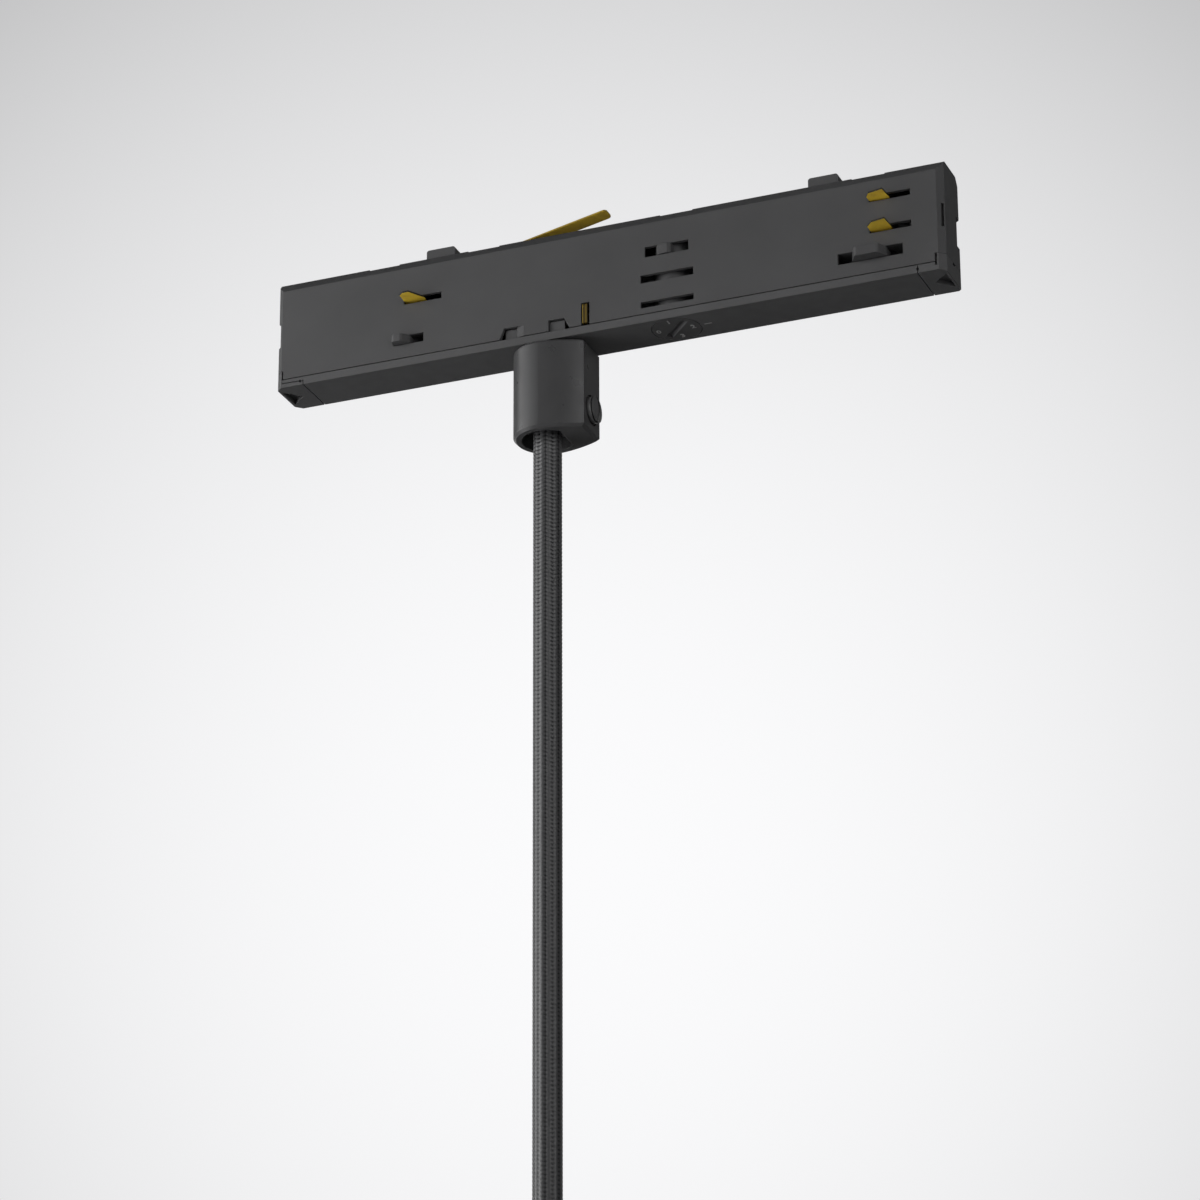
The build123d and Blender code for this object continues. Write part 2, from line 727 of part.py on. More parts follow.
def make_terminal_screws():
    """The screws in the terminal tubes."""
    top = terminal_block_high - 1
    group = []
    for x in terminal_places():
        screw = slim_rod(terminal_screw_radius, top - 4, top + 0.6, x)
        screw -= block(x - 2, x + 2, -0.2, 0.2, top + 0.1, top + 1)
        group.append(screw)
    return Compound(children=group)


def make_lower_fitting():
    """The fitting on the cord's lower end, with a threaded nipple for the lamp."""
    top = lower_fitting_top
    bottom = top - lower_fitting_length
    inner = cord_radius + 1.6
    points = ((0, bottom), (lower_fitting_radius, bottom), (lower_fitting_radius, top - lower_taper),
              (inner, top), (0, top))
    body = revolve(make_face(Plane.XZ * Polyline(*points, close=True)), Axis.Z)
    body += rod(nipple_radius, bottom - nipple_length, bottom + 0.5)
    body -= rod(cord_radius, cord_bottom, top + 1)
    body -= rod(nipple_bore, bottom - nipple_length - 1, cord_bottom + 1)
    body -= rod_x(grub_radius, cord_radius - 1, lower_fitting_radius + 1, z=(top + bottom) / 2)
    return Pos(grip_x, 0, 0) * body


def make_lower_screw():
    """The grub screw of the lower fitting."""
    z = lower_fitting_top - lower_fitting_length / 2
    body = rod_x(grub_radius, cord_radius, lower_fitting_radius - 0.4)
    body -= block(lower_fitting_radius - 1.1, lower_fitting_radius, -0.25, 0.25, -2, 2)
    return Pos(grip_x, 0, z) * body


right_blades = {name: make_blade(right_axis_x, right_contact_outlines[name], slot, blade_undersides[name])
                for name, slot in right_contact_slots.items()}
left_blades = {name: make_blade(left_axis_x, left_contact_outlines[name], slot, blade_undersides[name])
               for name, slot in left_contact_slots.items()}
phase_contacts = {name: make_phase_contact(*values) for name, values in selector_slots.items()}

nodes = {
    "upper_housing": make_upper_housing(),
    "bottom_cover": make_bottom_cover(),
    "right_rotor": make_rotor(right_axis_x, right_lug_outline, right_lug_slot, 1, right_blades.values()),
    "left_rotor": make_rotor(left_axis_x, left_lug_outline, left_lug_slot, -1, left_blades.values()),
    "right_latch": make_latch(1, right_axis_x),
    "left_latch": make_latch(-1, left_axis_x),
    "selector_dial": make_dial(),
    "selector_drum": make_drum(phase_contacts.values()),
    "earth_contact": make_earth_contact(),
    "leaf_spring": make_leaf_spring(),
    "cord_grip": make_cord_grip(),
    "grip_nut": make_grip_nut(),
    "clamp_screw": make_clamp_screw(),
    "clamp_saddle": make_saddle(),
    "cord": make_cord(),
    "cord_cores": make_cores(),
    "terminal_block": make_terminal_block(),
    "terminals": make_terminals(),
    "terminal_screws": make_terminal_screws(),
    "lower_fitting": make_lower_fitting(),
    "lower_screw": make_lower_screw(),
}
for name, blade in right_blades.items():
    nodes["right_contact_" + name] = blade
for name, blade in left_blades.items():
    nodes["left_contact_" + name] = blade
for name, contact in phase_contacts.items():
    nodes["phase_contact_" + name] = contact

for name, shape in nodes.items():
    export_step(shape, "parts/" + name + ".step")
print(len(nodes), "nodes")
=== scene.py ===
"""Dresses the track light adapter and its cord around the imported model, and sets its studio.

Lengths are in metres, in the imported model's frame: the origin is the middle of the bar's underside,
+X runs along the bar and +Z is up. The near side faces -Y.
"""

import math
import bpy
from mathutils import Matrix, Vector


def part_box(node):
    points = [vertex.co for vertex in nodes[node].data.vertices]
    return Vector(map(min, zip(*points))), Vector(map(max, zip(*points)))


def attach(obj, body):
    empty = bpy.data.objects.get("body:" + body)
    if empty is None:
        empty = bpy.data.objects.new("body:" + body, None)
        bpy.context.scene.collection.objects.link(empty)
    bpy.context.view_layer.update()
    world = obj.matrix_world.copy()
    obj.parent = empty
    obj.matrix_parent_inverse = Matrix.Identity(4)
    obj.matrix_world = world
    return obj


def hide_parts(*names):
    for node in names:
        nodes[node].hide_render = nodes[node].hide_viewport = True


bl_info = {
    "name": "Track Light Adapter",
    "version": (1, 0, 0),
    "blender": (4, 5, 0),
    "location": "3D View > Sidebar > Track Adapter",
    "description": "Dresses the track light adapter with its braided cord, in a plain studio",
    "category": "Object",
}

import bpy
import numpy as np
from bpy.props import FloatProperty, FloatVectorProperty, IntProperty, PointerProperty
from mathutils import Matrix, Vector

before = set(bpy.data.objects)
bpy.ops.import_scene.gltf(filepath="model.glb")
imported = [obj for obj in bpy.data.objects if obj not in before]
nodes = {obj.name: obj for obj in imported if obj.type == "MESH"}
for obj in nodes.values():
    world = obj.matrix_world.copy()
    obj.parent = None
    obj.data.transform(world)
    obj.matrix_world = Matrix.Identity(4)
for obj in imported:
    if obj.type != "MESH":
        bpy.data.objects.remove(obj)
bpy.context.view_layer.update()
cad_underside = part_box("bottom_cover")[0].z

MM = 0.001

# Noise keeps almost wholly between these two values
NOISE_LOW = 0.3
NOISE_HIGH = 0.7

# How far noise is drawn out along each axis: not at all, or into the rolling lines of sheet metal
EVEN = (1, 1, 1)
LINES_ALONG_X = (8, 1, 1)
LINES_ALONG_Z = (1, 1, 8)

# Moulded plastic: the sizes of its clouds, gloss patches and waves, and the depths of its bumps
CLOUD_SIZE = 0.018
GLOSS_SIZE = 0.004
WAVE_SIZE = 0.009
WAVE_DEPTH = 0.00004
FAINT_WAVE_DEPTH = 0.000008
GRAIN_DEPTH = 0.000012

# Metal: the sizes of its tarnish and lines, and the depth of the lines
TARNISH_SIZE = 0.003
FINE_TARNISH_SIZE = 0.002
LINE_SIZE = 0.0003
LINE_DEPTH = 0.00001

# How strongly a bump shows
GRAIN_BUMP = 0.5
WAVE_BUMP = 0.25
FIBRE_BUMP = 0.6


def node_middle(name):
    """The middle of a CAD node's box."""
    low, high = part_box(name)
    return (low + high) / 2


def length(name, description, default, low=0.0, high=10.0):
    """A length in metres for a property group."""
    return FloatProperty(name=name, description=description, default=default, min=low, max=high,
                         unit="LENGTH", precision=5)


def colour(name, description, default):
    """A colour for a property group."""
    return FloatVectorProperty(name=name, description=description, default=default, size=3,
                               min=0.0, max=1.0, subtype="COLOR")


def factor(name, description, default):
    """A share from 0 to 1 for a property group."""
    return FloatProperty(name=name, description=description, default=default, min=0.0, max=1.0,
                         subtype="FACTOR")


def power(name, description, default):
    """A lamp's power in watts for a property group."""
    return FloatProperty(name=name, description=description, default=default, min=0.0, max=1000.0,
                         unit="POWER")


def strength(name, description, default):
    """A strength of soft light for a property group."""
    return FloatProperty(name=name, description=description, default=default, min=0.0, max=10.0)


class AdapterPlasticSettings(bpy.types.PropertyGroup):
    """Colours and grain of the moulded pieces."""

    housing: colour("Housing", "Colour of the bar's moulded shell", (0.084, 0.084, 0.086))
    cover: colour("Cover", "Colour of the bar's cover and latches", (0.096, 0.096, 0.098))
    rotor: colour("Rotors", "Colour of the lock rotors", (0.078, 0.078, 0.080))
    selector: colour("Selector", "Colour of the dial and its drum", (0.078, 0.078, 0.080))
    print: colour("Print", "Colour of the dial's numbers and the index bar", (0.37, 0.37, 0.37))
    grip: colour("Grip", "Colour of the cord grip", (0.078, 0.078, 0.080))
    core: colour("Cores", "Colour of the cord's insulated cores", (0.55, 0.53, 0.50))
    terminal: colour("Terminals", "Colour of the terminal block", (0.62, 0.61, 0.57))
    roughness: factor("Roughness", "Roughness of the moulded plastic", 0.46)
    edge: length("Edge rounding", "Radius that the moulded edges are rounded by", 0.00014)
    grain: length("Grain", "Size of the fine grain that the mould leaves", 0.00022)


class AdapterMetalSettings(bpy.types.PropertyGroup):
    """Colours of the metal pieces."""

    brass: colour("Brass", "Colour of the contact strips and the spring", (1.0, 0.66, 0.06))
    steel: colour("Steel", "Colour of the plated nut and screws", (0.56, 0.57, 0.58))
    black: colour("Blackened metal", "Colour of the lower fitting", (0.024, 0.024, 0.026))
    screw: colour("Screw", "Colour of the coated clamp screw", (0.120, 0.120, 0.122))
    edge: length("Edge rounding", "Radius that the stamped edges are rounded by", 0.00008)


class AdapterCordSettings(bpy.types.PropertyGroup):
    """Route and braid of the cord."""

    top: length("Top", "Height of the cord's upper end, inside the neck", 0.003, -1.0, 1.0)
    bottom: length("Bottom", "Height of the cord's lower end, in the fitting", -0.264, -1.0, 1.0)
    diameter: length("Diameter", "Diameter over the braid", 0.0082)
    relief: length("Braid relief", "Depth of the furrows between the braid's stitches", 0.00042)
    pitch: length("Stitch length", "Length of cord that one stitch takes", 0.00119)
    lean: factor("Lean", "How far a stitch leans over its width, as a share of its length", 0.45)
    strands: IntProperty(name="Strands", description="Pairs of stitch columns round the cord",
                         default=6, min=2, max=32)
    yarn: colour("Yarn", "Colour of the braid's yarn", (0.102, 0.102, 0.105))
    # Painted shade: the colour that the furrows between the stitches are painted.
    furrow: colour("Furrow", "Colour between the stitches", (0.008, 0.008, 0.009))
    turn: FloatProperty(name="Turn", description="Turn of the braid about the cord",
                        default=0.2845, min=0.0, max=6.3, subtype="ANGLE")


class AdapterStudioSettings(bpy.types.PropertyGroup):
    """Lamps, fill, backdrop and floor."""

    lens: FloatProperty(name="Lens", description="Focal length for a 36 mm sensor",
                        default=138.86, min=1.0, max=500.0, unit="CAMERA")
    key: power("Key", "Power of the large lamp on the left", 2.05)
    left_front: power("Left front", "Power of the lamp on the left in front", 1.45)
    left_low: power("Left low", "Power of the lamp low on the left", 1.25)
    right: power("Right", "Power of the lamp on the right", 1.25)
    right_end: power("Right end", "Power of the small lamp before the bar's right end", 0.10)
    left_back: power("Left back", "Power of the lamp on the left behind", 0.15)
    low_front: power("Low front", "Power of the lamp low in front", 0.3)
    high_back: power("High back", "Power of the high lamp behind, for the far side and roof", 7.0)
    back: strength("Back fill", "Strength of the soft light from behind", 2.6)
    floor_fill: strength("Even fill", "Strength of the soft light from all round", 0.02)
    gloss_share: factor("Backdrop in gloss", "How much of the backdrop the gloss shows", 0.03)
    backdrop: colour("Backdrop", "Tint of the pale backdrop", (0.99, 0.99, 1.0))
    floor: colour("Floor", "Colour of the pale floor", (0.80, 0.80, 0.80))
    floor_height: length("Floor height", "Height of the floor below the bar", -2.4, -5.0, 0.0)
    floor_glow: strength("Floor glow", "How pale the camera sees the floor over its light", 0.53)


def tone(shade, share):
    """A colour made lighter or darker by a share."""
    return tuple(min(1.0, part * share) for part in shade)


class Graph:
    """A node tree, and short ways to add nodes to it."""

    def __init__(self, tree):
        self.tree = tree

    def add(self, kind, **values):
        """A new node; values are its properties, or its inputs where their name is one."""
        node = self.tree.nodes.new(kind)
        for key, value in values.items():
            name = key.replace("_", " ")
            if name in node.inputs:
                node.inputs[name].default_value = value
            else:
                setattr(node, key, value)
        return node

    def link(self, output, socket):
        """Joins two nodes."""
        self.tree.links.new(output, socket)

    def maths(self, operation, first, second=0.0):
        """A maths node over a socket, and over a number or another socket where it takes two."""
        node = self.add("ShaderNodeMath", operation=operation)
        self.link(first, node.inputs[0])
        if isinstance(second, bpy.types.NodeSocket):
            self.link(second, node.inputs[1])
        else:
            node.inputs[1].default_value = second
        return node.outputs["Value"]

    def along(self, source, direction):
        """How far a vector reaches along a fixed direction."""
        node = self.add("ShaderNodeVectorMath", operation="DOT_PRODUCT")
        node.inputs[1].default_value = direction
        self.link(source, node.inputs[0])
        return node.outputs["Value"]

    def part(self, source, axis):
        """One of the three parts of a vector."""
        node = self.add("ShaderNodeSeparateXYZ")
        self.link(source, node.inputs[0])
        return node.outputs[axis]

    def mapped(self, source, start, end, low, high):
        """A value moved from the range start to end to the range low to high, and held there."""
        node = self.add("ShaderNodeMapRange", From_Min=start, From_Max=end, To_Min=low, To_Max=high)
        self.link(source, node.inputs["Value"])
        return node.outputs["Result"]


class Finish(Graph):
    """A material with its principled shader, and short ways to build its look."""

    def __init__(self, name):
        self.material = bpy.data.materials.new(name)
        self.material.use_nodes = True
        super().__init__(self.material.node_tree)
        self.shader = self.tree.nodes["Principled BSDF"]
        self.place = self.add("ShaderNodeTexCoord").outputs["Object"]

    def set(self, **values):
        """Sets the principled shader's own sockets."""
        for key, value in values.items():
            self.shader.inputs[key.replace("_", " ")].default_value = value

    def paint(self, shade):
        """Gives the shader its colour."""
        self.link(shade, self.shader.inputs["Base Color"])

    def roughen(self, source, low, high):
        """Gives the shader a roughness that goes from low to high over noise."""
        self.link(self.spread(source, low, high), self.shader.inputs["Roughness"])

    def noise(self, size, detail=2.0, stretch=EVEN):
        """Noise with patches about size metres across, drawn out along the axes by stretch."""
        mapping = self.add("ShaderNodeMapping")
        mapping.inputs["Scale"].default_value = [1 / share for share in stretch]
        self.link(self.place, mapping.inputs["Vector"])
        node = self.add("ShaderNodeTexNoise", Scale=1 / size, Detail=detail)
        self.link(mapping.outputs["Vector"], node.inputs["Vector"])
        return node.outputs["Fac"]

    def ramp(self, source, stops):
        """A colour ramp over a value; stops are (place, colour)."""
        node = self.add("ShaderNodeValToRGB")
        elements = node.color_ramp.elements
        while len(elements) < len(stops):
            elements.new(0.5)
        for element, (place, shade) in zip(elements, stops):
            element.position = place
            element.color = (*shade, 1.0)
        self.link(source, node.inputs["Fac"])
        return node.outputs["Color"]

    def clouded(self, source, shade, low, high):
        """A colour whose tone goes from low to high over noise."""
        return self.ramp(source, [(NOISE_LOW, tone(shade, low)), (NOISE_HIGH, tone(shade, high))])

    def spread(self, source, low, high):
        """A value that goes from low to high over noise."""
        return self.mapped(source, NOISE_LOW, NOISE_HIGH, low, high)

    def by_side(self, upright):
        """A share for painted shade, 1 on level faces and the given one on upright faces, by the
        mesh's normal.
        """
        normal = self.add("ShaderNodeTexCoord").outputs["Normal"]
        level = self.maths("ABSOLUTE", self.part(normal, "Z"))
        return self.spread(level, upright, 1.0)

    def scaled(self, shade, share):
        """A colour times a value."""
        node = self.add("ShaderNodeVectorMath", operation="SCALE")
        self.link(shade, node.inputs[0])
        self.link(share, node.inputs["Scale"])
        return node.outputs["Vector"]

    def relief(self, heights, edge=None):
        """Bump from (height, distance, strength) rows, over edges rounded by a radius if given."""
        normal = None
        if edge:
            normal = self.add("ShaderNodeBevel", samples=8, Radius=edge).outputs["Normal"]
        for height, distance, share in heights:
            bump = self.add("ShaderNodeBump", Strength=share, Distance=distance)
            self.link(height, bump.inputs["Height"])
            if normal:
                self.link(normal, bump.inputs["Normal"])
            normal = bump.outputs["Normal"]
        self.link(normal, self.shader.inputs["Normal"])


def plastic_finish(name, shade, settings, roughness=None, wave=WAVE_DEPTH, edge=None):
    """Moulded plastic: fine grain, a faint cloudiness and waviness, and rounded edges."""
    finish = Finish(name)
    cloud = finish.noise(CLOUD_SIZE, detail=3.0)
    finish.paint(finish.clouded(cloud, shade, low=0.94, high=1.06))
    rough = settings.roughness if roughness is None else roughness
    finish.roughen(finish.noise(GLOSS_SIZE, detail=4.0), low=rough - 0.05, high=rough + 0.05)
    grain = finish.noise(settings.grain)
    swell = finish.noise(WAVE_SIZE, detail=1.0)
    finish.relief([(grain, GRAIN_DEPTH, GRAIN_BUMP), (swell, wave, WAVE_BUMP)],
                  edge or settings.edge)
    finish.set(IOR=1.46)
    return finish.material


def metal_finish(name, shade, roughness, edge, lines=EVEN, metallic=1.0, upright_shade=None):
    """Sheet metal: faint rolling lines, tarnish in patches and rounded edges.

    Where a share for upright faces is given, those faces have that share of the colour: painted shade
    on the edges that stand upright.
    """
    finish = Finish(name)
    tarnish = finish.noise(TARNISH_SIZE, detail=4.0)
    body = finish.clouded(tarnish, shade, low=0.82, high=1.08)
    if upright_shade is not None:
        # Painted shade: the upright faces get only the given share of the colour.
        body = finish.scaled(body, finish.by_side(upright_shade))
    finish.paint(body)
    finish.roughen(tarnish, low=roughness - 0.06, high=roughness + 0.08)
    rolled = finish.noise(LINE_SIZE, stretch=lines)
    finish.relief([(rolled, LINE_DEPTH, GRAIN_BUMP)], edge)
    finish.set(Metallic=metallic)
    return finish.material


def dress(names, material):
    """Gives CAD nodes a finish."""
    for name in names:
        slots = nodes[name].material_slots
        if slots:
            slots[0].material = material
        else:
            nodes[name].data.materials.append(material)


def grid_faces(rows, columns, closed=True):
    """Quads of a grid with rows of columns points each, closed round the columns."""
    row = np.arange(rows - 1)[:, None] * columns
    column = np.arange(columns if closed else columns - 1)[None, :]
    after = (column + 1) % columns
    corners = [row + column, row + after, row + columns + after, row + columns + column]
    return np.stack(corners, -1).reshape(-1, 4)


def surface(name, points, faces, material, smooth=True):
    """A mesh object from an array of points and a list of faces."""
    mesh = bpy.data.meshes.new(name)
    mesh.from_pydata(points.reshape(-1, 3).tolist(), [], faces)
    mesh.polygons.foreach_set("use_smooth", [smooth] * len(mesh.polygons))
    mesh.validate()
    mesh.materials.append(material)
    piece = bpy.data.objects.new(name, mesh)
    bpy.context.scene.collection.objects.link(piece)
    return piece


def keep_values(piece, name, values):
    """Keeps a value for each point of a piece, for its material to read."""
    attribute = piece.data.attributes.new(name, "FLOAT", "POINT")
    attribute.data.foreach_set("value", values.astype(np.float32))


class ADAPTER_OT_moulded_pieces(bpy.types.Operator):
    """Give the shell, cover, latches and rotors their moulded finish"""

    bl_idname = "adapter.moulded_pieces"
    bl_label = "Moulded Pieces"

    def execute(self, context):
        settings = context.scene.adapter_plastic
        dress(["upper_housing"], plastic_finish("housing_plastic", settings.housing, settings))
        dress(["bottom_cover", "right_latch", "left_latch"],
              plastic_finish("cover_plastic", settings.cover, settings))
        dress(["right_rotor", "left_rotor"],
              plastic_finish("rotor_plastic", settings.rotor, settings))
        return {"FINISHED"}


class ADAPTER_OT_contacts(bpy.types.Operator):
    """Give the contacts, the spring and the screws their metal finish"""

    bl_idname = "adapter.contacts"
    bl_label = "Contacts and Spring"

    # Shares of the brass colour in the earth contact, painted light and shade of its folds: painted
    # shade, a painted highlight and painted half shade; and its bands as (place over X, share)
    dark = 0.012
    bright = 0.34
    dull = 0.15
    stripes = ((0.0, dark), (0.08, bright), (0.16, bright), (0.22, dark), (0.42, dark),
               (0.50, dull), (0.84, dull), (0.92, dark))

    def execute(self, context):
        settings = context.scene.adapter_metal
        brass = settings.brass
        edge = settings.edge
        # The strips' upright edges get painted shade at 1% of the colour, and the spring's at 55%.
        dress(["right_contact_low", "right_contact_high", "left_contact_middle",
               "phase_contact_low", "phase_contact_middle", "phase_contact_high"],
              metal_finish("brass_strip", brass, 0.42, edge, LINES_ALONG_X, metallic=0.12,
                           upright_shade=0.01))
        dress(["leaf_spring"],
              metal_finish("brass_spring", tone(brass, 0.95), 0.42, edge, LINES_ALONG_X,
                           metallic=0.12, upright_shade=0.55))
        dress(["earth_contact"], self.folded_strip(settings))
        dress(["terminals"], metal_finish("terminal_brass", brass, 0.28, edge))
        dress(["grip_nut", "terminal_screws", "lower_screw"],
              metal_finish("plated_steel", settings.steel, 0.30, edge))
        return {"FINISHED"}

    def folded_strip(self, settings):
        """Brass with painted light and shade of its folds in bands over the strip's width: a painted
        highlight and painted shade along each leg.
        """
        finish = Finish("folded_brass")
        low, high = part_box("earth_contact")
        across = finish.mapped(finish.part(finish.place, "X"), low.x, high.x, 0.0, 1.0)
        stops = [(place, tone(settings.brass, share)) for place, share in self.stripes]
        # Painted light and shade: the bands light and shade the folds whatever the lamps do.
        finish.paint(finish.ramp(across, stops))
        tarnish = finish.noise(FINE_TARNISH_SIZE, detail=4.0)
        finish.roughen(tarnish, low=0.36, high=0.50)
        lines = finish.noise(LINE_SIZE, stretch=LINES_ALONG_Z)
        finish.relief([(lines, LINE_DEPTH, GRAIN_BUMP)], settings.edge)
        finish.set(Metallic=0.35)
        return finish.material


class ADAPTER_OT_selector(bpy.types.Operator):
    """Finish the selector's dial and drum and put the plain position numbers on the dial"""

    bl_idname = "adapter.selector"
    bl_label = "Selector"

    # Places of the numbers 0 to 3 from the dial's axis
    places = ((-5.3 * MM, -0.2 * MM), (-0.65 * MM, -4.8 * MM), (4.9 * MM, 0.2 * MM),
              (0.2 * MM, 4.45 * MM))
    number_size = 2.7 * MM
    number_swell = 0.045 * MM
    number_depth = 0.09 * MM

    # The slope by the coin slot: each edge's place across the slot and height over the underside
    slope_half = 5.5 * MM
    slope_across = (0.60 * MM, 1.09 * MM)
    slope_rise = (0.88 * MM, 0.02 * MM)
    slope_points = 9
    # How much lighter than the dial the slope is painted: a painted highlight on the slot's lit wall.
    slope_tone = 1.6
    slot_angle = -47.0

    # The index bar: its ends from the dial's axis, and its underside's height over the cover's
    index_span = (8.27 * MM, 10.48 * MM)
    index_half = 0.28 * MM
    index_rise = 0.03 * MM
    index_thickness = 0.2 * MM

    def execute(self, context):
        settings = context.scene.adapter_plastic
        dress(["selector_dial", "selector_drum"],
              plastic_finish("selector_plastic", settings.selector, settings, roughness=0.38))
        middle = node_middle("selector_dial")
        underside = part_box("selector_dial")[0].z
        print_finish = plastic_finish("dial_print", settings.print, settings, roughness=0.5)
        for number, (x, y) in enumerate(self.places):
            spot = Vector((middle.x + x, middle.y + y, underside))
            self.numeral(context, str(number), spot, print_finish)
        # The slope is painted lighter than the dial: a painted highlight along the slot.
        slope_highlight = tone(settings.selector, self.slope_tone)
        self.slot_slope(middle, underside, plastic_finish("pointer_plastic", slope_highlight, settings))
        self.index_bar(middle, print_finish)
        return {"FINISHED"}

    def slot_slope(self, middle, underside, material):
        """The slope along one side of the coin slot, painted lighter than the dial as a painted
        highlight.

        It lies between two level lines that run with the slot: a point at the distance a along the
        slot and c across it is the dial's axis + a * (cos t, sin t) + c * (-sin t, cos t), with t
        as the slot's angle.
        """
        across = np.array(self.slope_across)
        turn = math.radians(self.slot_angle)
        along = np.linspace(-self.slope_half, self.slope_half, self.slope_points)[:, None]
        x = middle.x + along * math.cos(turn) - across * math.sin(turn)
        y = middle.y + along * math.sin(turn) + across * math.cos(turn)
        z = np.broadcast_to(underside + np.array(self.slope_rise), x.shape)
        faces = grid_faces(self.slope_points, 2, closed=False).tolist()
        piece = surface("dial_slot_slope", np.stack([x, y, z], -1), faces, material, smooth=False)
        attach(piece, "selector")

    def index_bar(self, middle, material):
        """The light bar in the cover's groove beside the dial, a box over its lower corners."""
        x0, x1 = (middle.x + end for end in self.index_span)
        half = self.index_half
        z = cad_underside + self.index_rise
        lower = np.array([[x0, -half, z], [x1, -half, z], [x1, half, z], [x0, half, z]])
        upper = lower + (0.0, 0.0, self.index_thickness)
        faces = [[3, 2, 1, 0], [4, 5, 6, 7], [0, 1, 5, 4], [1, 2, 6, 5], [2, 3, 7, 6], [3, 0, 4, 7]]
        points = np.concatenate([lower, upper])
        piece = surface("index_bar", points, faces, material, smooth=False)
        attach(piece, "housing")

    def numeral(self, context, text, spot, material):
        """A raised plain number on the dial's underside, turned so that it is read from below."""
        letter = bpy.data.curves.new(f"dial_number_{text}_outline", "FONT")
        letter.body = text
        letter.size = self.number_size
        letter.offset = self.number_swell
        letter.extrude = self.number_depth
        letter.align_x = "CENTER"
        letter.align_y = "CENTER"
        holder = bpy.data.objects.new(letter.name, letter)
        context.scene.collection.objects.link(holder)
        mesh = bpy.data.meshes.new_from_object(holder)
        bpy.data.objects.remove(holder)
        mesh.transform(Matrix.Translation(spot) @ Matrix.Rotation(math.pi, 4, "X"))
        mesh.name = f"dial_number_{text}"
        mesh.materials.clear()
        mesh.materials.append(material)
        piece = bpy.data.objects.new(mesh.name, mesh)
        context.scene.collection.objects.link(piece)
        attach(piece, "selector")


